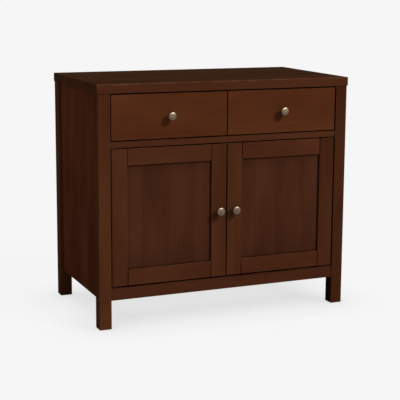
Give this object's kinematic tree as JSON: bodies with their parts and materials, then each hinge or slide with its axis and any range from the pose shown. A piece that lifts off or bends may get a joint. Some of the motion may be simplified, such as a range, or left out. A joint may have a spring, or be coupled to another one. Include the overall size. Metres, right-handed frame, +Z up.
{
  "type": "sideboard",
  "caption": "Dark stained wooden sideboard: drawers on slides over a cupboard with a shelf behind framed doors on knife hinges, on square posts that form its feet.",
  "frame": {"origin": "on the floor under the middle of the whole box, knobs included", "axes": "+Z up, the front with its knobs faces -Y, +X to the right as seen from the front; left and right are named as seen from the front"},
  "size_m": [0.971, 0.551, 0.86],
  "materials": {
    "back_board": "thin brown stain on plywood",
    "box_wood": "clear satin on pale wood",
    "catch_plastic": "dark brown moulded plastic",
    "hinge_metal": "dark bronze",
    "knob_metal": "satin aged nickel",
    "screw_steel": "yellow-grey zinc plated",
    "slide_steel": "zinc plated",
    "stained_wood": "satin dark reddish-brown stain"
  },
  "bodies": {
    "carcass": {"back_left_post": "stained_wood", "back_panel": "back_board", "back_right_post": "stained_wood", "bottom_back_rail": "stained_wood", "bottom_front_rail": "stained_wood", "case_hinge_leaves": "hinge_metal", "case_screws": "screw_steel", "case_slides": "slide_steel", "door_catch": "catch_plastic", "drawer_divider": "stained_wood", "dust_panel": "stained_wood", "floor_panel": "stained_wood", "front_left_post": "stained_wood", "front_right_post": "stained_wood", "hinge_pins": "hinge_metal", "left_side_panel": "stained_wood", "middle_front_rail": "stained_wood", "right_side_panel": "stained_wood", "shelf": "stained_wood", "shelf_pins": "screw_steel", "slide_spacers": "box_wood", "top_back_rail": "stained_wood", "top_front_rail": "stained_wood", "top_slab": "stained_wood"},
    "left_drawer": {"left_drawer_back": "box_wood", "left_drawer_bottom": "box_wood", "left_drawer_front": "stained_wood", "left_drawer_knob": "knob_metal", "left_drawer_knob_screw": "screw_steel", "left_drawer_sides": "box_wood", "left_drawer_slides": "slide_steel"},
    "right_drawer": {"right_drawer_back": "box_wood", "right_drawer_bottom": "box_wood", "right_drawer_front": "stained_wood", "right_drawer_knob": "knob_metal", "right_drawer_knob_screw": "screw_steel", "right_drawer_sides": "box_wood", "right_drawer_slides": "slide_steel"},
    "left_middle_slides": {"left_drawer_middle_slides": "slide_steel"},
    "right_middle_slides": {"right_drawer_middle_slides": "slide_steel"},
    "left_door": {"left_door_bottom_rail": "stained_wood", "left_door_hinge_leaves": "hinge_metal", "left_door_inner_stile": "stained_wood", "left_door_knob": "knob_metal", "left_door_knob_screw": "screw_steel", "left_door_outer_stile": "stained_wood", "left_door_panel": "stained_wood", "left_door_screws": "screw_steel", "left_door_strike_plate": "hinge_metal", "left_door_top_rail": "stained_wood"},
    "right_door": {"right_door_bottom_rail": "stained_wood", "right_door_hinge_leaves": "hinge_metal", "right_door_inner_stile": "stained_wood", "right_door_knob": "knob_metal", "right_door_knob_screw": "screw_steel", "right_door_outer_stile": "stained_wood", "right_door_panel": "stained_wood", "right_door_screws": "screw_steel", "right_door_strike_plate": "hinge_metal", "right_door_top_rail": "stained_wood"}
  },
  "joints": [
    {"name": "left_drawer_slide", "type": "slide", "parent": "carcass", "child": "left_drawer", "axis": [0, -1, 0], "range_m": [0, 0.4]},
    {"name": "right_drawer_slide", "type": "slide", "parent": "carcass", "child": "right_drawer", "axis": [0, -1, 0], "range_m": [0, 0.4]},
    {"name": "left_middle_slide", "type": "slide", "parent": "carcass", "child": "left_middle_slides", "axis": [0, -1, 0], "range_m": [0, 0.2]},
    {"name": "right_middle_slide", "type": "slide", "parent": "carcass", "child": "right_middle_slides", "axis": [0, -1, 0], "range_m": [0, 0.2]},
    {"name": "left_door_hinge", "type": "hinge", "parent": "carcass", "child": "left_door", "pos_m": [-0.435, -0.2485, 0.3935], "axis": [0, 0, -1], "range_deg": [0, 110]},
    {"name": "right_door_hinge", "type": "hinge", "parent": "carcass", "child": "right_door", "pos_m": [0.435, -0.2485, 0.3935], "axis": [0, 0, 1], "range_deg": [0, 110]}
  ],
  "couplings": [
    {"joint": "left_middle_slide", "follows": "left_drawer_slide", "ratio": 0.5},
    {"joint": "right_middle_slide", "follows": "right_drawer_slide", "ratio": 0.5}
  ]
}
